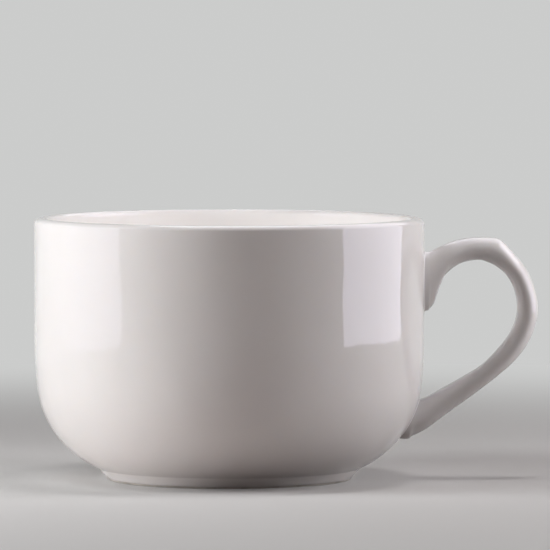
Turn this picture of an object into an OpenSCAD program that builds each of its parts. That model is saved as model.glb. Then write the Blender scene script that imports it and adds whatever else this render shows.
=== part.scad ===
// Soup mug of glazed white porcelain: a roller-formed bowl, and a cast handle luted to it with slip.
// Millimetres. The origin is the centre of the foot's bearing band, +Z is up, and the handle points
// along +X.

/* [Bowl] */
// Diameter over the straight wall and the rim
rim_d = 120; // [100:1:135]
// Height from the table to the top of the rim
mug_h = 80.5; // [76:0.5:96]
// Thickness of the wall, which the rim rounds over
wall_t = 4; // [3:0.1:5]
// Height of the rim's rounding
lip_h = 1.5; // [1:0.1:2.5]
// Width of the rim's rounding outside its crest; the rest of the wall's thickness lies inside it
lip_out_w = 2.6; // [2:0.1:2.9]
// Thickness of the floor inside the foot ring
floor_t = 4.5; // [3.5:0.1:6]
// Height at which the straight wall starts to turn in
shoulder_z = 44.7; // [43:0.1:48]
// Radius of the slow turn below the straight wall
shoulder_r = 165; // [140:1:190]
// Angle that the slow turn sweeps before the belly
shoulder_sweep = 5.3; // [4:0.1:6.5]
// Height above the table of the belly's lowest point, were it carried on under the foot
belly_lift = 0.9; // [0.5:0.1:3]

/* [Foot ring] */
// Angle round the belly, down from the horizontal, at which the foot begins
foot_angle = 66; // [62:0.5:70]
// Width of the bare band that the mug stands on
foot_band_w = 2.6; // [2:0.1:4]
// Lean of the foot's outer wall from the table, in degrees
foot_lean = 47; // [42:1:60]
// Lean of the foot's inner wall from the table, in degrees
foot_inner_lean = 62; // [50:1:80]
// Depth of the recess inside the foot ring
recess_h = 2.2; // [1.8:0.1:3]
// Radius of the hollow between the belly and the foot
foot_hollow_r = 1.6; // [1:0.1:3]
// Radius of the foot's two lower edges
foot_edge_r = 0.8; // [0.3:0.1:1]
// Radius of the hollow between the foot and the recess
recess_hollow_r = 1.6; // [0.5:0.1:2]

/* [Handle] */
// Reach of the handle beyond the wall
handle_reach = 35; // [30:0.1:40]
// Depth of the handle's crest below the rim
handle_drop = 6.1; // [5:0.1:9]
// Height of the handle's lowest point, at its lower root
handle_low_z = 12.1; // [11:0.1:14]
// Width of the handle at its widest, at the upper root
handle_w = 14; // [12:0.1:17]
// Fullness of the outer half of the section, where 2 is an ellipse
outer_fullness = 2.1; // [2:0.1:3]
// Fullness of the inner half of the section, which bears on the fingers
inner_fullness = 2.3; // [2:0.1:3.4]
// Thickness of the slip between each root and the wall
slip_t = 0.4; // [0.2:0.1:0.8]

/* [Hidden] */

glaze_white = [0.93, 0.92, 0.90];
slip_white = [0.88, 0.86, 0.83];

// Degrees between the points of an arc, and sides of a revolved piece
arc_angle = 2.5;
revolve_count = 180;

wall_r = rim_d / 2;
floor_z = recess_h + floor_t;
handle_top_z = mug_h - handle_drop;

function arc(centre, r, from, to) =
    let (steps = max(2, ceil(abs(to - from) / arc_angle)))
    [for (i = [0:steps]) let (a = from + (to - from) * i / steps) centre + r * [cos(a), sin(a)]];

// An arc of radius r in place of the corner at b, touching the sides from a and to c
function rounded_corner(a, b, c, r) =
    let (
        to_a = (a - b) / norm(a - b),
        to_c = (c - b) / norm(c - b),
        half = acos(to_a * to_c) / 2,
        centre = b + (to_a + to_c) / norm(to_a + to_c) * r / sin(half),
        start = b + to_a * r / tan(half) - centre,
        stop = b + to_c * r / tan(half) - centre,
        from = atan2(start[1], start[0]),
        swing = atan2(stop[1], stop[0]) - from
    )
    arc(centre, r, from, from + (swing > 180 ? swing - 360 : swing < -180 ? swing + 360 : swing));

// The slow turn's centre, and the centre of a circle of radius r that carries on where it ends
turn_c = [wall_r - shoulder_r, shoulder_z];
function below_turn(turn_r, r) = turn_c + (turn_r - r) * [cos(shoulder_sweep), -sin(shoulder_sweep)];

// Radius of the circle that carries on from the slow turn and reaches down to low_z
function radius_down_to(turn_r, low_z) =
    (shoulder_z - turn_r * sin(shoulder_sweep) - low_z) / (1 - sin(shoulder_sweep));

// The hollow touches the belly from outside, and the foot's outer wall runs from it down to the table
belly_r = radius_down_to(shoulder_r, belly_lift);
belly_c = below_turn(shoulder_r, belly_r);
hollow_c = belly_c + (belly_r + foot_hollow_r) * [cos(foot_angle), -sin(foot_angle)];
foot_wall_top = hollow_c + foot_hollow_r * [-sin(foot_lean), cos(foot_lean)];
foot_r = foot_wall_top[0] - foot_wall_top[1] / tan(foot_lean);

// The bowl's outside from the straight wall to the hollow above the foot, moved outward by grow
function outside(grow) = concat(
    arc(turn_c, shoulder_r + grow, 0, -shoulder_sweep),
    arc(belly_c, belly_r + grow, -shoulder_sweep, -foot_angle)
);

// The foot, from the hollow round its bearing band to the middle of the recess
function foot_section() =
    let (
        band_in = [foot_r - foot_band_w, 0],
        recess_edge = band_in + recess_h * [-1 / tan(foot_inner_lean), 1]
    )
    concat(
        arc(hollow_c, foot_hollow_r, 180 - foot_angle, 90 + foot_lean),
        rounded_corner(foot_wall_top, [foot_r, 0], band_in, foot_edge_r),
        rounded_corner([foot_r, 0], band_in, recess_edge, foot_edge_r),
        rounded_corner(band_in, recess_edge, [0, recess_h], recess_hollow_r),
        [[0, recess_h]]
    );

// The bowl's inside, from the middle of its floor to the straight wall
function inside() =
    let (
        turn_r = shoulder_r - wall_t,
        r = radius_down_to(turn_r, floor_z)
    )
    concat(
        [[0, floor_z]],
        arc(below_turn(turn_r, r), r, -90, -shoulder_sweep),
        arc(turn_c, turn_r, -shoulder_sweep, 0)
    );

// The rim, from the inside over its crest to the outside: a quarter of an ellipse on each side
function rim() =
    [for (p = arc([0, 0], 1, 180, 0))
        let (side_w = p[0] < 0 ? wall_t - lip_out_w : lip_out_w)
        [wall_r - lip_out_w + side_w * p[0], mug_h - lip_h + lip_h * p[1]]];

module mug_body() {
    color(glaze_white)
        rotate_extrude($fn = revolve_count)
            polygon(concat(
                outside(0),
                foot_section(),
                inside(),
                rim()
            ));
}

// All that the bowl's outside encloses, as one solid, moved outward by grow
module bowl_form(grow) {
    rotate_extrude($fn = revolve_count)
        polygon(concat(
            [[0, mug_h], [wall_r + grow, mug_h]],
            outside(grow),
            [[0, hollow_c[1]]]
        ));
}

// The handle's stations, from deep in the upper root to deep in the lower one. Each row holds, as
// shares, the outer edge's place out to the full reach and up to the crest, the inner edge's, and the
// width there.
station_shares = [
    [-0.160, 0.921, -0.160, 0.632, 1.00],
    [ 0.011, 0.928,  0.011, 0.636, 1.00],
    [ 0.063, 0.935,  0.046, 0.648, 0.99],
    [ 0.154, 0.958,  0.086, 0.677, 0.97],
    [ 0.254, 0.980,  0.121, 0.742, 0.94],
    [ 0.354, 0.994,  0.170, 0.806, 0.91],
    [ 0.446, 1.000,  0.305, 0.868, 0.88],
    [ 0.554, 1.000,  0.469, 0.888, 0.86],
    [ 0.640, 0.995,  0.571, 0.873, 0.85],
    [ 0.703, 0.972,  0.640, 0.852, 0.84],
    [ 0.800, 0.912,  0.717, 0.814, 0.83],
    [ 0.903, 0.836,  0.780, 0.754, 0.82],
    [ 0.980, 0.729,  0.810, 0.681, 0.81],
    [ 0.997, 0.616,  0.806, 0.608, 0.80],
    [ 0.931, 0.498,  0.754, 0.531, 0.80],
    [ 0.811, 0.399,  0.660, 0.457, 0.80],
    [ 0.643, 0.312,  0.509, 0.371, 0.81],
    [ 0.437, 0.223,  0.331, 0.308, 0.83],
    [ 0.234, 0.141,  0.163, 0.255, 0.86],
    [ 0.029, 0.056,  0.029, 0.213, 0.89],
    [-0.097, 0.019, -0.051, 0.196, 0.90],
    [-0.171, 0.000, -0.126, 0.186, 0.91],
    [-0.400, 0.020, -0.340, 0.170, 0.91]
];
last_station = len(station_shares) - 1;
// Steps between stations that each root runs over
upper_root_count = 3;
lower_root_count = 4;
// Rings from one station to the next, and corners of a ring
ring_count = 3;
side_count = 28;

// A smooth curve from p[1] to p[2], by way of its neighbours p[0] and p[3]
function on_curve(p, t) =
    (2 * p[1] + (p[2] - p[0]) * t
    + (2 * p[0] - 5 * p[1] + 4 * p[2] - p[3]) * pow(t, 2)
    + (3 * p[1] - p[0] - 3 * p[2] + p[3]) * pow(t, 3)) / 2;

// The shares at a place along the handle, which is counted in stations
function shares_at(place) =
    let (i = min(floor(place), last_station - 1))
    on_curve([for (k = [i - 1:i + 2]) station_shares[min(max(k, 0), last_station)]], place - i);

function edge_point(reach_share, height_share) =
    [wall_r + reach_share * handle_reach, handle_low_z + height_share * (handle_top_z - handle_low_z)];

function rounded_power(v, fullness) = sign(v) * pow(abs(v), 2 / fullness);

// The handle's section at a place along it: a closed ring, rounder outside and fuller inside
function ring_at(place) =
    let (
        shares = shares_at(place),
        outer = edge_point(shares[0], shares[1]),
        inner = edge_point(shares[2], shares[3]),
        half_w = handle_w * shares[4] / 2
    )
    [for (k = [0:side_count - 1])
        let (
            a = 360 * k / side_count,
            fullness = cos(a) > 0 ? outer_fullness : inner_fullness,
            p = (outer + inner) / 2 + (outer - inner) / 2 * rounded_power(cos(a), fullness)
        )
        [p[0], half_w * rounded_power(sin(a), fullness), p[1]]];

// The handle's form between two places along it, closed by a flat face at each end
module handle_form(from, to) {
    steps = (to - from) * ring_count;
    n = side_count;
    polyhedron(
        points = [for (i = [0:steps]) each ring_at(from + i / ring_count)],
        faces = concat(
            [[for (k = [0:n - 1]) k]],
            [[for (k = [n - 1:-1:0]) steps * n + k]],
            [for (i = [0:steps - 1], k = [0:n - 1])
                let (a = i * n + k, b = i * n + (k + 1) % n)
                each [[a, a + n, b], [b, a + n, b + n]]]
        )
    );
}

// Both roots run on into the bowl's form, which cuts them to the wall less the slip
module handle() {
    color(glaze_white)
        difference() {
            handle_form(0, last_station);
            bowl_form(slip_t);
        }
}

// The slip between the bowl and the root that lies between two places, with the root's own outline
module slip_joint(from, to) {
    color(slip_white)
        intersection() {
            handle_form(from, to);
            difference() {
                bowl_form(slip_t);
                bowl_form(0);
            }
        }
}

mug_body();
handle();
slip_joint(0, upper_root_count);  // upper_slip_joint
slip_joint(last_station - lower_root_count, last_station);  // lower_slip_joint
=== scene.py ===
import math

import bmesh
import bpy
import numpy as np
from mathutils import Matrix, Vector


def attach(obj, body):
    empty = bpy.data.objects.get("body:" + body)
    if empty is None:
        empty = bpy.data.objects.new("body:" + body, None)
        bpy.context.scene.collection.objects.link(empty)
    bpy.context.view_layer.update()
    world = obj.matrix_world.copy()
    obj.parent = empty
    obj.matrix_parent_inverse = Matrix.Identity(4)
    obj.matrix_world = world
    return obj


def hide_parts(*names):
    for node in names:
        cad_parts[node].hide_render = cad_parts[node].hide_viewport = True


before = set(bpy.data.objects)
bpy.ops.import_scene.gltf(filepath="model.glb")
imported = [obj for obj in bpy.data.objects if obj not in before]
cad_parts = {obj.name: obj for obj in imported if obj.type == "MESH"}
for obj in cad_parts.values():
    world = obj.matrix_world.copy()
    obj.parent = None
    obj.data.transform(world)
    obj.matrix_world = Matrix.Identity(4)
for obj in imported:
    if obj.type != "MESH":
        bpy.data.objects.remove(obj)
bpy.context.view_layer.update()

# Sizes are in millimetres until a mesh is made, and angles are in degrees.
MM = 0.001

# The bowl
RIM_R = 60.0
MUG_H = 80.5
WALL_T = 4.0
LIP_H = 1.5
LIP_OUT_W = 2.6
SHOULDER_Z = 44.7
SHOULDER_R = 165.0
SHOULDER_SWEEP = 5.3
BELLY_LIFT = 0.9
FLOOR_Z = 6.7

# The foot ring
FOOT_ANGLE = 66.0
FOOT_LEAN = 47.0
FOOT_INNER_LEAN = 62.0
FOOT_BAND_W = 2.6
FOOT_EDGE_R = 0.8
FOOT_HOLLOW_R = 1.6
RECESS_H = 2.2
RECESS_HOLLOW_R = 1.6

# The handle
HANDLE_REACH = 35.0
HANDLE_TOP_Z = 74.4
HANDLE_LOW_Z = 12.1
HANDLE_W = 14.0
OUTER_FULLNESS = 2.1
INNER_FULLNESS = 2.3

# How finely the meshes are cut
BOWL_SIDES = 256
ARC_STEP = 3.0
FEWEST_ARC_STEPS = 6
FLAT_STEP = 2.5
FEWEST_FLAT_STEPS = 2
RIM_STEP = 9
HANDLE_SIDES = 72
HANDLE_ROWS = 190
BEAD_ROWS = 6
HALVINGS = 40

# The slip that is sponged round each root, and how deep the root is bedded in it
UPPER_BEAD_R = 0.55
LOWER_BEAD_R = 0.4
ROOT_BED = 0.25
BEAD_SINK = 0.03

# Stations along the handle, from inside the upper root to inside the lower one: the outer edge's place
# as shares of the reach and of the height, the inner edge's, and the share of the width
STATIONS = np.array([
    (-0.160, 0.921, -0.160, 0.632, 1.00),
    (0.011, 0.928, 0.011, 0.636, 1.00),
    (0.063, 0.935, 0.046, 0.648, 0.99),
    (0.154, 0.958, 0.086, 0.677, 0.97),
    (0.254, 0.980, 0.121, 0.742, 0.94),
    (0.354, 0.994, 0.170, 0.806, 0.91),
    (0.446, 1.000, 0.305, 0.868, 0.88),
    (0.554, 1.000, 0.469, 0.888, 0.86),
    (0.640, 0.995, 0.571, 0.873, 0.85),
    (0.703, 0.972, 0.640, 0.852, 0.84),
    (0.800, 0.912, 0.717, 0.814, 0.83),
    (0.903, 0.836, 0.780, 0.754, 0.82),
    (0.980, 0.729, 0.810, 0.681, 0.81),
    (0.997, 0.616, 0.806, 0.608, 0.80),
    (0.931, 0.498, 0.754, 0.531, 0.80),
    (0.811, 0.399, 0.660, 0.457, 0.80),
    (0.643, 0.312, 0.509, 0.371, 0.81),
    (0.437, 0.223, 0.331, 0.308, 0.83),
    (0.234, 0.141, 0.163, 0.255, 0.86),
    (0.029, 0.056, 0.029, 0.213, 0.89),
    (-0.097, 0.019, -0.051, 0.196, 0.90),
    (-0.171, 0.000, -0.126, 0.186, 0.91),
    (-0.400, 0.020, -0.340, 0.170, 0.91),
])
UPPER_ROOT = (0.0, 3.0)
LOWER_ROOT = (18.0, 22.0)


# The bowl's profile


def turned(r, degrees):
    """A step of length r in the direction that lies degrees up from straight outward."""
    angle = math.radians(degrees)
    return np.array([r * math.cos(angle), r * math.sin(angle)])


def arc(centre, r, start, stop):
    """Points round an arc, with steps that are no longer than a flat run's."""
    step = min(ARC_STEP, math.degrees(FLAT_STEP / r))
    count = max(FEWEST_ARC_STEPS, math.ceil(abs(stop - start) / step))
    return [centre + turned(r, start + (stop - start) * i / count) for i in range(count + 1)]


def flat_run(start, stop):
    """Points between two ends, without the ends."""
    start, stop = np.array(start, float), np.array(stop, float)
    count = max(FEWEST_FLAT_STEPS, math.ceil(np.linalg.norm(stop - start) / FLAT_STEP))
    return [start + (stop - start) * i / count for i in range(1, count)]


def rounded_corner(before, corner, after, r):
    """An arc in place of a corner, touching both of its sides."""
    before, corner, after = (np.array(p, float) for p in (before, corner, after))
    back = (before - corner) / np.linalg.norm(before - corner)
    on = (after - corner) / np.linalg.norm(after - corner)
    half = math.acos(back @ on) / 2
    centre = corner + (back + on) / np.linalg.norm(back + on) * r / math.sin(half)
    from_side = corner + back * r / math.tan(half) - centre
    to_side = corner + on * r / math.tan(half) - centre
    start = math.degrees(math.atan2(from_side[1], from_side[0]))
    swing = math.degrees(math.atan2(to_side[1], to_side[0])) - start
    return arc(centre, r, start, start + (swing + 180) % 360 - 180)


TURN_C = np.array([RIM_R - SHOULDER_R, SHOULDER_Z])


def radius_down_to(turn_r, low_z):
    """Radius of the circle that carries on from the slow turn and reaches down to low_z."""
    drop = math.sin(math.radians(SHOULDER_SWEEP))
    return (SHOULDER_Z - turn_r * drop - low_z) / (1 - drop)


def below_turn(turn_r, r):
    """Centre of a circle of radius r that carries on where the slow turn ends."""
    return TURN_C + turned(turn_r - r, -SHOULDER_SWEEP)


BELLY_R = radius_down_to(SHOULDER_R, BELLY_LIFT)
BELLY_C = below_turn(SHOULDER_R, BELLY_R)


def foot_profile():
    """From the middle of the recess, round the bearing band, to the hollow under the belly."""
    hollow_c = BELLY_C + turned(BELLY_R + FOOT_HOLLOW_R, -FOOT_ANGLE)
    wall_top = hollow_c + turned(FOOT_HOLLOW_R, 90 + FOOT_LEAN)
    foot_r = wall_top[0] - wall_top[1] / math.tan(math.radians(FOOT_LEAN))
    band_out = (foot_r, 0)
    band_in = (foot_r - FOOT_BAND_W, 0)
    recess_edge = (band_in[0] - RECESS_H / math.tan(math.radians(FOOT_INNER_LEAN)), RECESS_H)
    recess = rounded_corner((0, RECESS_H), recess_edge, band_in, RECESS_HOLLOW_R)
    inner_edge = rounded_corner(recess_edge, band_in, band_out, FOOT_EDGE_R)
    outer_edge = rounded_corner(band_in, band_out, wall_top, FOOT_EDGE_R)
    hollow = arc(hollow_c, FOOT_HOLLOW_R, 90 + FOOT_LEAN, 180 - FOOT_ANGLE)
    return [
        (0, RECESS_H),
        *flat_run((0, RECESS_H), recess[0]),
        *recess,
        *flat_run(recess[-1], inner_edge[0]),
        *inner_edge,
        *flat_run(inner_edge[-1], outer_edge[0]),
        *outer_edge,
        *flat_run(outer_edge[-1], hollow[0]),
        *hollow,
    ]


def rim_profile():
    """From the outside over the crest to the inside: a quarter of an ellipse on each side."""
    crest_r = RIM_R - LIP_OUT_W
    turns = [math.radians(RIM_STEP * i) for i in range(round(180 / RIM_STEP) + 1)]
    widths = [LIP_OUT_W if math.cos(a) > 0 else WALL_T - LIP_OUT_W for a in turns]
    return [(crest_r + w * math.cos(a), MUG_H - LIP_H + LIP_H * math.sin(a)) for a, w in zip(turns, widths)]


def bowl_profile():
    """(radius, height) pairs from under the bowl, up its outside, over the rim and down its inside."""
    inner_turn_r = SHOULDER_R - WALL_T
    inner_r = radius_down_to(inner_turn_r, FLOOR_Z)
    wall_top = MUG_H - LIP_H
    inside_r = RIM_R - WALL_T
    floor_arc = arc(below_turn(inner_turn_r, inner_r), inner_r, -SHOULDER_SWEEP, -90)
    return [
        *foot_profile(),
        *arc(BELLY_C, BELLY_R, -FOOT_ANGLE, -SHOULDER_SWEEP)[1:],
        *arc(TURN_C, SHOULDER_R, -SHOULDER_SWEEP, 0)[1:],
        *flat_run((RIM_R, SHOULDER_Z), (RIM_R, wall_top)),
        *rim_profile(),
        *flat_run((inside_r, wall_top), (inside_r, SHOULDER_Z)),
        *arc(TURN_C, inner_turn_r, 0, -SHOULDER_SWEEP),
        *floor_arc[1:],
        *flat_run(floor_arc[-1], (0, FLOOR_Z)),
        (0, FLOOR_Z),
    ]


# Meshes


def piece_from(name, bm):
    """A smooth-shaded object in the scene, from a bmesh in millimetres."""
    bmesh.ops.scale(bm, vec=(MM, MM, MM), verts=bm.verts)
    mesh = bpy.data.meshes.new(name)
    bm.to_mesh(mesh)
    bm.free()
    mesh.shade_smooth()
    piece = bpy.data.objects.new(name, mesh)
    bpy.context.scene.collection.objects.link(piece)
    return piece


def join_rings(bm, rings):
    """Quads between each ring and the next."""
    for ring, above in zip(rings, rings[1:]):
        for k in range(len(ring)):
            after = (k + 1) % len(ring)
            bm.faces.new((ring[k], ring[after], above[after], above[k]))


def close_ring(bm, ring, middle):
    """A fan of triangles from a ring to a point in the middle of it."""
    tip = bm.verts.new(middle)
    for k in range(len(ring)):
        bm.faces.new((ring[k], tip, ring[(k + 1) % len(ring)]))


def bowl_mesh(name):
    """The bowl, revolved about Z."""
    profile = bowl_profile()
    turns = [math.tau * k / BOWL_SIDES for k in range(BOWL_SIDES)]
    bm = bmesh.new()
    rings = [
        [bm.verts.new((r * math.cos(a), r * math.sin(a), z)) for a in turns]
        for r, z in profile[1:-1]
    ]
    join_rings(bm, rings)
    close_ring(bm, rings[0], (0, 0, profile[0][1]))
    close_ring(bm, rings[-1], (0, 0, profile[-1][1]))
    bmesh.ops.recalc_face_normals(bm, faces=bm.faces)
    return piece_from(name, bm)


def grid_normals(grid):
    """The outward normal at each point of a grid of rings, from its neighbours."""
    along = np.empty_like(grid)
    along[1:-1] = grid[2:] - grid[:-2]
    along[0] = grid[1] - grid[0]
    along[-1] = grid[-1] - grid[-2]
    around = np.roll(grid, -1, axis=1) - np.roll(grid, 1, axis=1)
    normals = np.cross(around, along)
    normals /= np.linalg.norm(normals, axis=2, keepdims=True)
    outward = grid - grid.mean(axis=1, keepdims=True)
    return normals * np.sign((normals * outward).sum())


def ringed_mesh(name, grid, normals):
    """A closed piece from a grid of rings, with a point in the middle of each end, and set normals."""
    bm = bmesh.new()
    rings = [[bm.verts.new(p) for p in ring] for ring in grid]
    join_rings(bm, rings)
    close_ring(bm, rings[0], grid[0].mean(axis=0))
    close_ring(bm, rings[-1], grid[-1].mean(axis=0))
    bmesh.ops.recalc_face_normals(bm, faces=bm.faces)
    piece = piece_from(name, bm)
    ends = normals[[0, -1]].mean(axis=1)
    piece.data.normals_split_custom_set_from_vertices([*normals.reshape(-1, 3), *ends])
    return piece


# The handle and its joints


def shares_at(place):
    """The stations' shares at places along the handle, on a smooth curve through them."""
    last = len(STATIONS) - 1
    i = np.minimum(np.floor(place).astype(int), last - 1)
    t = (place - i)[..., None]
    p0, p1, p2, p3 = (STATIONS[np.clip(i + k, 0, last)] for k in (-1, 0, 1, 2))
    return (
        2 * p1
        + (p2 - p0) * t
        + (2 * p0 - 5 * p1 + 4 * p2 - p3) * t**2
        + (3 * p1 - p0 - 3 * p2 + p3) * t**3
    ) / 2


def handle_point(place, angle):
    """Points of the handle's surface, at places along it and at angles round its section."""
    shares = shares_at(place)
    reach = RIM_R + HANDLE_REACH * shares[..., [0, 2]]
    height = HANDLE_LOW_Z + (HANDLE_TOP_Z - HANDLE_LOW_Z) * shares[..., [1, 3]]
    fullness = np.where(np.cos(angle) > 0, OUTER_FULLNESS, INNER_FULLNESS)
    out = np.sign(np.cos(angle)) * np.abs(np.cos(angle)) ** (2 / fullness)
    side = np.sign(np.sin(angle)) * np.abs(np.sin(angle)) ** (2 / fullness)
    x = reach.mean(axis=-1) + (reach[..., 0] - reach[..., 1]) / 2 * out
    z = height.mean(axis=-1) + (height[..., 0] - height[..., 1]) / 2 * out
    return np.stack([x, HANDLE_W * shares[..., 4] / 2 * side, z], axis=-1)


def nearest_arc(points):
    """For points by the bowl: their place on its section, and the centre and radius that its outside has
    there. By the straight wall the centre is level with the point."""
    flat = np.stack([np.hypot(points[..., 0], points[..., 1]), points[..., 2]], axis=-1)
    across = turned(1, 90 - SHOULDER_SWEEP)
    on_belly = (flat - TURN_C) @ across < 0
    on_wall = flat[..., 1] > SHOULDER_Z
    centre = np.where(on_belly[..., None], BELLY_C, TURN_C)
    radius = np.where(on_belly, BELLY_R, SHOULDER_R)
    centre[..., 1] = np.where(on_wall, flat[..., 1], centre[..., 1])
    return flat, centre, radius


def off_wall(points):
    """How far points stand off the bowl's outside."""
    flat, centre, radius = nearest_arc(points)
    return np.linalg.norm(flat - centre, axis=-1) - radius


def wall_normal(points):
    """The bowl's outward normal nearest to points."""
    flat, centre, _ = nearest_arc(points)
    slope = (flat - centre) / np.linalg.norm(flat - centre, axis=-1, keepdims=True)
    out = points[..., :2] / flat[..., :1]
    return np.concatenate([out * slope[..., :1], slope[..., 1:]], axis=-1)


def place_off_wall(root, angle, gap, inside_first):
    """Where along a root, at each angle, the handle's surface stands off the wall by gap."""
    inner = np.full(angle.shape, root[0] if inside_first else root[1])
    outer = np.full(angle.shape, root[1] if inside_first else root[0])
    for _ in range(HALVINGS):
        middle = (inner + outer) / 2
        inside = off_wall(handle_point(middle, angle)) < gap
        inner = np.where(inside, middle, inner)
        outer = np.where(inside, outer, middle)
    return (inner + outer) / 2


def bead_rows(root, angle, bead_r, inside_first):
    """The slip's rounded surface from the handle's side down to the wall, as rings."""
    start = handle_point(place_off_wall(root, angle, bead_r, inside_first), angle)
    corner = handle_point(place_off_wall(root, angle, 0.0, inside_first), angle)
    normal = wall_normal(corner)
    around = np.roll(corner, -1, axis=0) - np.roll(corner, 1, axis=0)
    away = np.cross(normal, around)
    away /= np.linalg.norm(away, axis=-1, keepdims=True)
    away *= np.sign((away * (corner - corner.mean(axis=0))).sum())
    stop = corner + away * bead_r
    stop -= wall_normal(stop) * (off_wall(stop)[:, None] + BEAD_SINK)
    steps = [i / BEAD_ROWS for i in range(BEAD_ROWS + 1)]
    return np.array([(1 - t) ** 2 * start + 2 * t * (1 - t) * corner + t**2 * stop for t in steps])


def handle_and_beads():
    """The handle and the slip at its two roots. All three take their normals from one surface."""
    angle = np.linspace(0, math.tau, HANDLE_SIDES, endpoint=False)
    upper = bead_rows(UPPER_ROOT, angle, UPPER_BEAD_R, True)
    lower = bead_rows(LOWER_ROOT, angle, LOWER_BEAD_R, False)
    first = place_off_wall(UPPER_ROOT, angle, UPPER_BEAD_R, True)
    last = place_off_wall(LOWER_ROOT, angle, LOWER_BEAD_R, False)
    rows = [handle_point(first + (last - first) * i / HANDLE_ROWS, angle) for i in range(HANDLE_ROWS + 1)]

    surface = np.concatenate([upper[::-1], rows[1:], lower[1:]])
    normals = grid_normals(surface)
    normals[0] = wall_normal(surface[0])
    normals[-1] = wall_normal(surface[-1])
    upper_end = BEAD_ROWS
    lower_start = len(surface) - 1 - BEAD_ROWS

    bed_top = handle_point(place_off_wall(UPPER_ROOT, angle, ROOT_BED, True), angle)
    bed_low = handle_point(place_off_wall(LOWER_ROOT, angle, ROOT_BED, False), angle)
    body = np.concatenate([[bed_top], surface[upper_end:lower_start + 1], [bed_low]])
    body_normals = normals[[upper_end, *range(upper_end, lower_start + 1), lower_start]]
    handle = ringed_mesh("cast_handle", body, body_normals)
    upper_bead = ringed_mesh("upper_slip_bead", surface[:upper_end + 1], normals[:upper_end + 1])
    lower_bead = ringed_mesh("lower_slip_bead", surface[lower_start:], normals[lower_start:])
    return handle, upper_bead, lower_bead


# Finishes


def node(tree, kind, inputs=None, **settings):
    """A shader node with its settings, and with its inputs linked or set."""
    made = tree.nodes.new(kind)
    for name, value in settings.items():
        setattr(made, name, value)
    for name, value in (inputs or {}).items():
        if isinstance(value, bpy.types.NodeSocket):
            tree.links.new(value, made.inputs[name])
        else:
            made.inputs[name].default_value = value
    return made


def reckon(tree, kind, a, b):
    """One step of arithmetic on two values."""
    return node(tree, "ShaderNodeMath", {0: a, 1: b}, operation=kind).outputs[0]


def between(tree, value, low, high):
    """0 at low and beyond it, 1 at high and beyond it, and smooth between them."""
    ramp = node(
        tree,
        "ShaderNodeMapRange",
        {"Value": value, "From Min": low, "From Max": high},
        interpolation_type="SMOOTHSTEP",
    )
    return ramp.outputs["Result"]


def blend(tree, amount, a, b):
    """Colour a where amount is 0 and colour b where it is 1."""
    mix = tree.nodes.new("ShaderNodeMix")
    mix.data_type = "RGBA"
    for socket, value in ((mix.inputs[0], amount), (mix.inputs[6], a), (mix.inputs[7], b)):
        if isinstance(value, bpy.types.NodeSocket):
            tree.links.new(value, socket)
        else:
            socket.default_value = value
    return mix.outputs[2]


def noise(tree, place, scale, detail, roughness=0.5):
    """Smooth noise from 0 to 1."""
    made = node(
        tree,
        "ShaderNodeTexNoise",
        {"Vector": place, "Scale": scale, "Detail": detail, "Roughness": roughness},
    )
    return made.outputs["Fac"]


def start_group(name, inputs, outputs):
    """An empty shader node group with named sockets, its inputs, and its output node."""
    tree = bpy.data.node_groups.new(name, "ShaderNodeTree")
    for label, kind, value in inputs:
        socket = tree.interface.new_socket(label, in_out="INPUT", socket_type=kind)
        if value is not None:
            socket.default_value = value
    for label, kind in outputs:
        tree.interface.new_socket(label, in_out="OUTPUT", socket_type=kind)
    return tree, tree.nodes.new("NodeGroupInput").outputs, tree.nodes.new("NodeGroupOutput")


VECTOR, FLOAT, COLOR = "NodeSocketVector", "NodeSocketFloat", "NodeSocketColor"

# The levels of noise between which a patch, a smudge or worn clay fades in, and the distances from a
# speck's middle between which it fades, as shares of its cell
PATCH_FADE = (0.3, 0.7)
SMUDGE_FADE = (0.45, 0.75)
WORN_FADE = (0.42, 0.72)
SPECK_FADE = (0.06, 0.015)

# The bare clay of the foot: how soft its edge is, in metres, and how fine its waver, grain and wear are
WIPE_FADE = (0.00008, -0.00008)
WAVER_SCALE = 90.0
GRAIN_SCALE = 2600.0
WEAR_SCALE = 160.0


def make_glaze_ripple():
    """The slow swell of a dipped glaze and the fine orange peel on it, as a height."""
    tree, given, out = start_group(
        "glaze ripple",
        [
            ("Place", VECTOR, None),
            ("Swell", FLOAT, 60.0),
            ("Peel", FLOAT, 700.0),
            ("Peel share", FLOAT, 0.1),
        ],
        [("Height", FLOAT)],
    )
    swell = noise(tree, given["Place"], given["Swell"], 1.0)
    peel = noise(tree, given["Place"], given["Peel"], 1.0)
    height = reckon(tree, "ADD", swell, reckon(tree, "MULTIPLY", peel, given["Peel share"]))
    tree.links.new(height, out.inputs["Height"])
    return tree


def make_glaze_tone():
    """Glaze that lies a little thicker in some places than in others, with a few faint iron specks."""
    tree, given, out = start_group(
        "glaze tone",
        [
            ("Place", VECTOR, None),
            ("Thick", COLOR, (0.8, 0.8, 0.8, 1)),
            ("Thin", COLOR, (0.8, 0.8, 0.8, 1)),
            ("Patches", FLOAT, 30.0),
            ("Speck", COLOR, (0.5, 0.4, 0.3, 1)),
            ("Specks", FLOAT, 120.0),
            ("Speck share", FLOAT, 0.06),
        ],
        [("Color", COLOR)],
    )
    patches = between(tree, noise(tree, given["Place"], given["Patches"], 3.0), *PATCH_FADE)
    coat = blend(tree, patches, given["Thick"], given["Thin"])
    cells = node(tree, "ShaderNodeTexVoronoi", {"Vector": given["Place"], "Scale": given["Specks"]})
    near = between(tree, cells.outputs["Distance"], *SPECK_FADE)
    chosen = node(tree, "ShaderNodeSeparateColor", {"Color": cells.outputs["Color"]}).outputs["Red"]
    kept = reckon(tree, "LESS_THAN", chosen, given["Speck share"])
    speckled = blend(tree, reckon(tree, "MULTIPLY", near, kept), coat, given["Speck"])
    tree.links.new(speckled, out.inputs["Color"])
    return tree


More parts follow.
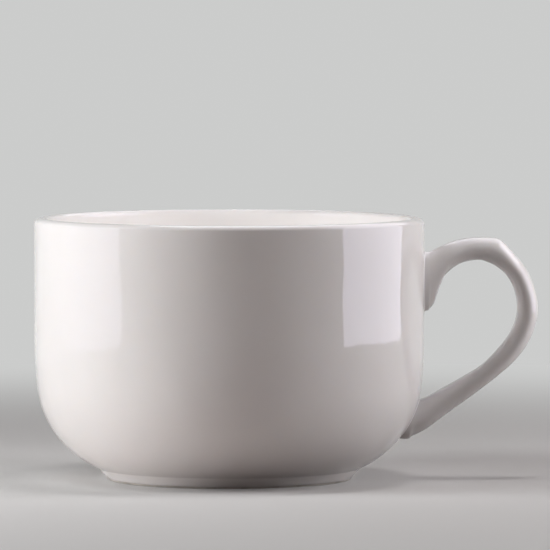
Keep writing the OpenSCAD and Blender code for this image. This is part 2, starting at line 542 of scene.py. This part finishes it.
def make_glaze_shine():
    """Roughness of a gloss glaze: clean and clear in most places, a little dulled by hands in others."""
    tree, given, out = start_group(
        "glaze shine",
        [
            ("Place", VECTOR, None),
            ("Clear", FLOAT, 0.06),
            ("Dulled", FLOAT, 0.12),
            ("Smudges", FLOAT, 45.0),
        ],
        [("Roughness", FLOAT)],
    )
    smudge = between(tree, noise(tree, given["Place"], given["Smudges"], 4.0, 0.6), *SMUDGE_FADE)
    reach = reckon(tree, "SUBTRACT", given["Dulled"], given["Clear"])
    dull = reckon(tree, "ADD", given["Clear"], reckon(tree, "MULTIPLY", smudge, reach))
    tree.links.new(dull, out.inputs["Roughness"])
    return tree


def make_wiped_foot():
    """Where the glaze is wiped off the bearing band, and the bare clay's own grain and colour there."""
    tree, given, out = start_group(
        "wiped foot",
        [
            ("Place", VECTOR, None),
            ("Wipe line", FLOAT, 0.0006),
            ("Waver", FLOAT, 0.0004),
            ("Clay", COLOR, (0.8, 0.8, 0.8, 1)),
            ("Worn clay", COLOR, (0.6, 0.6, 0.6, 1)),
        ],
        [("Bare", FLOAT), ("Color", COLOR), ("Grain", FLOAT)],
    )
    height = node(tree, "ShaderNodeSeparateXYZ", {"Vector": given["Place"]}).outputs["Z"]
    waver = reckon(tree, "SUBTRACT", noise(tree, given["Place"], WAVER_SCALE, 3.0), 0.5)
    line = reckon(tree, "ADD", given["Wipe line"], reckon(tree, "MULTIPLY", waver, given["Waver"]))
    above = reckon(tree, "SUBTRACT", height, line)
    grain = noise(tree, given["Place"], GRAIN_SCALE, 3.0, 0.6)
    worn = between(tree, noise(tree, given["Place"], WEAR_SCALE, 4.0, 0.65), *WORN_FADE)
    tree.links.new(between(tree, above, *WIPE_FADE), out.inputs["Bare"])
    tree.links.new(blend(tree, worn, given["Clay"], given["Worn clay"]), out.inputs["Color"])
    tree.links.new(grain, out.inputs["Grain"])
    return tree


def start_finish(name):
    """An empty material: its tree, its surface shader and the place on the object."""
    material = bpy.data.materials.new(name)
    material.use_nodes = True
    tree = material.node_tree
    tree.nodes.clear()
    surface = tree.nodes.new("ShaderNodeBsdfPrincipled")
    out = tree.nodes.new("ShaderNodeOutputMaterial")
    tree.links.new(surface.outputs["BSDF"], out.inputs["Surface"])
    place = tree.nodes.new("ShaderNodeTexCoord").outputs["Object"]
    return material, tree, surface, place


def use(tree, group, **inputs):
    """Places a group in a material, with its inputs linked or set. A socket's spaces are underscores."""
    made = tree.nodes.new("ShaderNodeGroup")
    made.node_tree = group
    for name, value in inputs.items():
        socket = made.inputs[name.replace("_", " ")]
        if isinstance(value, bpy.types.NodeSocket):
            tree.links.new(value, socket)
        else:
            socket.default_value = value
    return made.outputs


def bump(tree, surface, height, depth):
    """Lets a height that varies from 0 to 1 stand depth metres proud."""
    made = node(tree, "ShaderNodeBump", {"Strength": 1.0, "Distance": depth, "Height": height})
    tree.links.new(made.outputs["Normal"], surface.inputs["Normal"])


GLASSY = {
    "IOR": 1.52,
    "Subsurface Weight": 0.12,
    "Subsurface Radius": (1.0, 0.85, 0.7),
    "Subsurface Scale": 0.0012,
}
GLAZE_THICK = (0.858, 0.845, 0.838, 1)
GLAZE_THIN = (0.885, 0.873, 0.865, 1)
GLAZE_POOLED = (0.82, 0.80, 0.785, 1)
IRON_SPECK = (0.50, 0.40, 0.30, 1)
CLAY_BARE = (0.72, 0.69, 0.64, 1)
CLAY_WORN = (0.50, 0.47, 0.43, 1)
SWELL_DEPTH = 0.0004

# Of the bare clay: its roughness, and its grain and its step down from the glaze, as shares of the swell
BARE_ROUGHNESS = 0.75
BARE_GRAIN = 0.35
BARE_STEP = 0.8


def set_glassy(surface):
    """What is the same all over a glazed surface."""
    for name, value in GLASSY.items():
        surface.inputs[name].default_value = value


def make_bowl_glaze(ripple, tone, shine, foot):
    """White gloss glaze, wiped off the band that the mug stands on."""
    material, tree, surface, place = start_finish("white glaze on the bowl")
    set_glassy(surface)
    coat = use(tree, tone, Place=place, Thick=GLAZE_THICK, Thin=GLAZE_THIN, Patches=26.0, Speck=IRON_SPECK)
    gloss = use(tree, shine, Place=place, Clear=0.03, Dulled=0.07, Smudges=38.0)
    wiped = use(tree, foot, Place=place, Clay=CLAY_BARE, Worn_clay=CLAY_WORN)
    swell = use(tree, ripple, Place=place, Swell=45.0, Peel=650.0, Peel_share=0.012)
    colour = blend(tree, wiped["Bare"], coat["Color"], wiped["Color"])
    tree.links.new(colour, surface.inputs["Base Color"])
    matt = reckon(tree, "MULTIPLY", wiped["Bare"], BARE_ROUGHNESS)
    tree.links.new(reckon(tree, "MAXIMUM", gloss["Roughness"], matt), surface.inputs["Roughness"])
    grain = reckon(tree, "MULTIPLY", wiped["Grain"], BARE_GRAIN)
    step_down = reckon(tree, "SUBTRACT", grain, BARE_STEP)
    height = reckon(tree, "ADD", swell["Height"], reckon(tree, "MULTIPLY", wiped["Bare"], step_down))
    bump(tree, surface, height, SWELL_DEPTH)
    return material


def make_handle_glaze(ripple, tone, shine):
    """The same glaze on the handle, a little more dulled, where hands hold it."""
    material, tree, surface, place = start_finish("white glaze on the handle")
    set_glassy(surface)
    coat = use(tree, tone, Place=place, Thick=GLAZE_THICK, Thin=GLAZE_THIN, Patches=48.0, Speck=IRON_SPECK)
    gloss = use(tree, shine, Place=place, Clear=0.04, Dulled=0.11, Smudges=80.0)
    swell = use(tree, ripple, Place=place, Swell=110.0, Peel=650.0, Peel_share=0.06)
    tree.links.new(coat["Color"], surface.inputs["Base Color"])
    tree.links.new(gloss["Roughness"], surface.inputs["Roughness"])
    bump(tree, surface, swell["Height"], SWELL_DEPTH / 2)
    return material


def make_pooled_glaze(ripple, tone, shine):
    """Glaze that pools over the slip, round each root."""
    material, tree, surface, place = start_finish("glaze pooled over slip")
    set_glassy(surface)
    coat = use(tree, tone, Place=place, Thick=GLAZE_POOLED, Thin=GLAZE_THICK, Patches=220.0, Speck_share=0.0)
    gloss = use(tree, shine, Place=place, Clear=0.04, Dulled=0.08, Smudges=160.0)
    swell = use(tree, ripple, Place=place, Swell=260.0, Peel=900.0, Peel_share=0.1)
    tree.links.new(coat["Color"], surface.inputs["Base Color"])
    tree.links.new(gloss["Roughness"], surface.inputs["Roughness"])
    bump(tree, surface, swell["Height"], SWELL_DEPTH / 3)
    return material


# The stage, in metres

# Colours: of the backdrop and the floor, of the floor as the light that bounces off it sees it, with painted
# light at the left and painted shade at the right and under the mug, and of room and lamps
PALE = (0.60, 0.605, 0.60, 1)
FLOOR_COLOUR = (0.72, 0.725, 0.72, 1)
# Painted light and shade: the floor's bounce is far paler at the left, as if the left lamps lit it more, and
# dark at the right
BOUNCE_LEFT_PAINTED_LIGHT = (1.0, 0.94, 0.91, 1)
BOUNCE_RIGHT_PAINTED_SHADE = (0.13, 0.107, 0.098, 1)
# Painted shade: the floor's bounce close round the mug's foot
BOUNCE_UNDER_PAINTED_SHADE = (0.12, 0.10, 0.09, 1)
NEUTRAL = (1.0, 1.0, 1.0, 1)
BLUSH = (1.0, 0.56, 0.46, 1)
WARM = (1.0, 0.76, 0.69, 1)
CREAM = (1.0, 0.955, 0.94, 1)
CLEAR = (0.985, 1.0, 1.012, 1)
ROSE = (1.0, 0.962, 0.975, 1)
COOL = (0.94, 0.90, 1.0, 1)
LAVENDER = (0.93, 0.90, 1.10, 1)

# The floor: where it fades into the backdrop, where its bounce turns from the painted light at the left to
# the painted shade at the right, how far out and how far across the painted shade of the mug on its bounce
# ends, and the glow that lights the recess in the foot
FLOOR_R = 8.0
FLOOR_SIDES = 96
FLOOR_DROP = 0.00005
FADE_R = (0.12, 0.52)
BOUNCE_TURN = (-0.08, 0.08)
SHADE_R = (0.035, 0.075)
SHADE_ACROSS = (0.02, -0.03)
UNDER_GLOW_R = 0.037
UNDER_GLOW = 0.6

# How far off the side lamps that light the mug stand, and those that it mirrors
KEY_R = 0.50
MIRROR_R = 0.40

# How a diffuser's lower hem waves, steps up and curls, in shares of its size
HEM_FADE = (-0.002, 0.003)
HEM_WAVES = 7.0
HEM_WAVER = 0.016
HEM_STEP = (0.10, 0.32)
HEM_CURL = 20.0
LEFT_HEM = (0.026, 0.0, 0.012)
RIGHT_HEM = (0.029, 0.007, 0.018)


def seen_directly(tree):
    """1 for what the camera sees, also in a mirror or through glass."""
    path = tree.nodes.new("ShaderNodeLightPath").outputs
    seen = reckon(tree, "MAXIMUM", path["Is Camera Ray"], path["Is Glossy Ray"])
    return reckon(tree, "MAXIMUM", seen, path["Is Transmission Ray"])


def mix_shaders(tree, amount, a, b):
    """Shader a where amount is 0 and shader b where it is 1."""
    return node(tree, "ShaderNodeMixShader", {0: amount, 1: a, 2: b}).outputs[0]


def floor_colour(tree, seen, place, distance):
    """The floor's own colour where it is seen, and where it isn't, a bounce colour with painted light at the
    left and painted shade at the right and round the foot.
    """
    across = node(tree, "ShaderNodeSeparateXYZ", {"Vector": place}).outputs["X"]
    # Painted light and shade: the bounce colour is pale at the left and dark at the right
    bounce = blend(tree, between(tree, across, *BOUNCE_TURN), BOUNCE_LEFT_PAINTED_LIGHT, BOUNCE_RIGHT_PAINTED_SHADE)
    # Painted shade: the bounce is darker round the foot, except towards the left
    lit_by_left = between(tree, across, *SHADE_ACROSS)
    clear_of_shade = reckon(tree, "MAXIMUM", between(tree, distance, *SHADE_R), lit_by_left)
    bounce = blend(tree, clear_of_shade, BOUNCE_UNDER_PAINTED_SHADE, bounce)
    return blend(tree, seen, bounce, FLOOR_COLOUR)


def make_floor_finish():
    """A plain pale floor that fades into the backdrop, and is open to a look from underneath."""
    material = bpy.data.materials.new("pale floor")
    material.use_nodes = True
    tree = material.node_tree
    tree.nodes.clear()
    seen = seen_directly(tree)
    place = tree.nodes.new("ShaderNodeTexCoord").outputs["Object"]
    distance = node(tree, "ShaderNodeVectorMath", {0: place}, operation="LENGTH").outputs["Value"]
    far = reckon(tree, "MULTIPLY", between(tree, distance, *FADE_R), seen)
    colour = floor_colour(tree, seen, place, distance)
    lit = node(tree, "ShaderNodeBsdfDiffuse", {"Color": colour}).outputs[0]
    backdrop = node(tree, "ShaderNodeEmission", {"Color": PALE, "Strength": 1.0}).outputs[0]
    top = mix_shaders(tree, far, lit, backdrop)
    glow = node(tree, "ShaderNodeEmission", {"Color": PALE, "Strength": UNDER_GLOW}).outputs[0]
    top = mix_shaders(tree, reckon(tree, "LESS_THAN", distance, UNDER_GLOW_R), top, glow)
    under = tree.nodes.new("ShaderNodeBsdfTransparent").outputs[0]
    back = tree.nodes.new("ShaderNodeNewGeometry").outputs["Backfacing"]
    out = tree.nodes.new("ShaderNodeOutputMaterial")
    tree.links.new(mix_shaders(tree, back, top, under), out.inputs["Surface"])
    return material


def make_floor():
    """A round floor, a hair under the plane that the mug stands on."""
    bm = bmesh.new()
    bmesh.ops.create_circle(bm, cap_ends=True, segments=FLOOR_SIDES, radius=FLOOR_R)
    for vert in bm.verts:
        vert.co.z = -FLOOR_DROP
    mesh = bpy.data.meshes.new("floor")
    bm.to_mesh(mesh)
    bm.free()
    floor = bpy.data.objects.new("floor", mesh)
    bpy.context.scene.collection.objects.link(floor)
    mesh.materials.append(make_floor_finish())
    return floor


def make_room(colour, level):
    """Even light from all round, and the pale backdrop that is seen."""
    world = bpy.data.worlds.new("room")
    world.use_nodes = True
    tree = world.node_tree
    tree.nodes.clear()
    light = node(tree, "ShaderNodeBackground", {"Color": colour, "Strength": level}).outputs[0]
    backdrop = node(tree, "ShaderNodeBackground", {"Color": PALE, "Strength": 1.0}).outputs[0]
    out = tree.nodes.new("ShaderNodeOutputWorld")
    tree.links.new(mix_shaders(tree, seen_directly(tree), light, backdrop), out.inputs["Surface"])
    bpy.context.scene.world = world


def hem_mask(tree, across, hem):
    """1 on a diffuser's cloth and 0 below its hem, which waves a little, steps up and curls at a corner.
    The hem is given as its height, its step and its curl."""
    height, step, curl = hem
    spot = node(tree, "ShaderNodeSeparateXYZ", {"Vector": across}).outputs
    waved = reckon(tree, "SUBTRACT", noise(tree, across, HEM_WAVES, 1.0), 0.5)
    line = reckon(tree, "ADD", reckon(tree, "MULTIPLY", waved, HEM_WAVER), height)
    stepped = reckon(tree, "MULTIPLY", between(tree, spot["X"], *HEM_STEP), step)
    curled = reckon(tree, "MULTIPLY", reckon(tree, "POWER", spot["X"], HEM_CURL), curl)
    line = reckon(tree, "ADD", line, reckon(tree, "ADD", stepped, curled))
    return between(tree, reckon(tree, "SUBTRACT", spot["Y"], line), *HEM_FADE)


def soft_light(name, place, size, front, back, tint, lights=True, mirrors=True, hem=None):
    """A diffuser that faces the mug, with one radiance along its edge nearest the camera and another
    along the far edge, and with a hem if one is given. It may light without showing in reflections, or
    the other way round."""
    width, height = size
    data = bpy.data.lights.new(name, "AREA")
    data.shape = "RECTANGLE"
    data.size = width
    data.size_y = height
    data.energy = math.pi * width * height
    data.use_nodes = True
    tree = data.node_tree
    tree.nodes.clear()
    across = tree.nodes.new("ShaderNodeNewGeometry").outputs["Parametric"]
    share = node(tree, "ShaderNodeSeparateXYZ", {"Vector": across}).outputs["X"]
    left = place[0] < 0
    ends = {"To Min": back if left else front, "To Max": front if left else back}
    radiance = node(tree, "ShaderNodeMapRange", {"Value": share, **ends}).outputs["Result"]
    if hem:
        radiance = reckon(tree, "MULTIPLY", radiance, hem_mask(tree, across, hem))
    glow = node(tree, "ShaderNodeEmission", {"Color": tint, "Strength": radiance}).outputs[0]
    tree.links.new(glow, tree.nodes.new("ShaderNodeOutputLight").inputs["Surface"])
    lamp = bpy.data.objects.new(name, data)
    bpy.context.scene.collection.objects.link(lamp)
    lamp.location = place
    lamp.rotation_euler = (Vector((0, 0, place[2])) - Vector(place)).to_track_quat("-Z", "Y").to_euler()
    lamp.visible_camera = False
    lamp.visible_diffuse = lights
    lamp.visible_glossy = mirrors
    return lamp


def side_light(name, away, span, height, radiances, tint, shown=False, hem=None):
    """A diffuser that stands on the floor and spans two angles, counted from the camera to the right."""
    middle, half = math.radians(sum(span) / 2), math.radians((span[1] - span[0]) / 2)
    place = (away * math.sin(middle), -away * math.cos(middle), height / 2)
    size = (2 * away * math.tan(half), height)
    soft_light(name, place, size, *radiances, tint, not shown, shown, hem)


def key_light(name, span, height, radiance, tint):
    """A diffuser that lights the mug and doesn't show in it."""
    side_light(name, KEY_R, span, height, (radiance, radiance), tint)


def overhead_light(name, place, size, radiance, tint, shown=False):
    """A diffuser that faces straight down."""
    lamp = soft_light(name, place, size, radiance, radiance, tint, not shown, shown)
    lamp.rotation_euler = (0, 0, 0)


def light_stage():
    """Tall diffusers at both sides, others overhead, and a card that lights the far inside wall."""
    make_room(BLUSH, 0.028)
    key_light("left key", (-90, -68), 0.38, 7.8, CLEAR)
    key_light("left fill", (-52, -36), 0.50, 0.4, WARM)
    key_light("right key", (71, 100), 0.50, 5.3, ROSE)
    side_light("left diffuser", MIRROR_R, (-114.5, -62.5), 0.50, (1.9, 0.2), LAVENDER, True, LEFT_HEM)
    side_light("right diffuser", MIRROR_R, (66, 116), 0.50, (3.1, 2.0), LAVENDER, True, RIGHT_HEM)
    overhead_light("upper key", (-0.14, -0.10, 0.30), (0.14, 0.11), 4.4, NEUTRAL)
    overhead_light("top key", (0.12, 0.0, 0.89), (0.14, 0.11), 20.0, CREAM)
    overhead_light("top diffuser", (0.32, 0.40, 0.50), (0.84, 0.80), 2.0, COOL, True)
    soft_light("inner card", (0.022, -0.028, 0.056), (0.050, 0.030), 0.1, 9.0, CREAM, True, False)


# Where the photograph was taken from, and how many of its pixels the lens's focal length measures
CAMERA_PLACE = (0.0, -1.800, 0.1605)
PHOTO_PX = 550
FOCAL_PX = 5860
ORIGIN_PX = (229.35, 478.3)
SENSOR_W = 36.0
CLIP = (0.1, 100.0)


def make_camera():
    """The photograph's view, in which the origin falls on ORIGIN_PX."""
    middle = PHOTO_PX / 2
    yaw = math.atan((middle - ORIGIN_PX[0]) / FOCAL_PX)
    down = math.atan2(CAMERA_PLACE[2], -CAMERA_PLACE[1]) - math.atan((ORIGIN_PX[1] - middle) / FOCAL_PX)
    look = Vector((math.sin(yaw) * math.cos(down), math.cos(yaw) * math.cos(down), -math.sin(down)))
    data = bpy.data.cameras.new("camera")
    data.sensor_width = SENSOR_W
    data.lens = FOCAL_PX / PHOTO_PX * SENSOR_W
    data.clip_start, data.clip_end = CLIP
    camera = bpy.data.objects.new("camera", data)
    bpy.context.scene.collection.objects.link(camera)
    camera.location = CAMERA_PLACE
    camera.rotation_euler = look.to_track_quat("-Z", "Y").to_euler()
    bpy.context.scene.camera = camera


# The mug


def finish_piece(piece, node_name, material):
    """Fits a piece into the frame in place of its CAD node."""
    piece.data.materials.append(material)
    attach(piece, "root")
    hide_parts(node_name)


def make_mug():
    """Every piece, with its finish, in its place in the frame."""
    ripple, tone, shine = make_glaze_ripple(), make_glaze_tone(), make_glaze_shine()
    bowl_glaze = make_bowl_glaze(ripple, tone, shine, make_wiped_foot())
    handle_glaze = make_handle_glaze(ripple, tone, shine)
    pooled_glaze = make_pooled_glaze(ripple, tone, shine)
    handle, upper_bead, lower_bead = handle_and_beads()
    finish_piece(bowl_mesh("bowl"), "mug_body", bowl_glaze)
    finish_piece(handle, "handle", handle_glaze)
    finish_piece(upper_bead, "upper_slip_joint", pooled_glaze)
    finish_piece(lower_bead, "lower_slip_joint", pooled_glaze)


make_mug()
make_floor()
light_stage()
make_camera()
bpy.context.scene.view_settings.view_transform = "Standard"
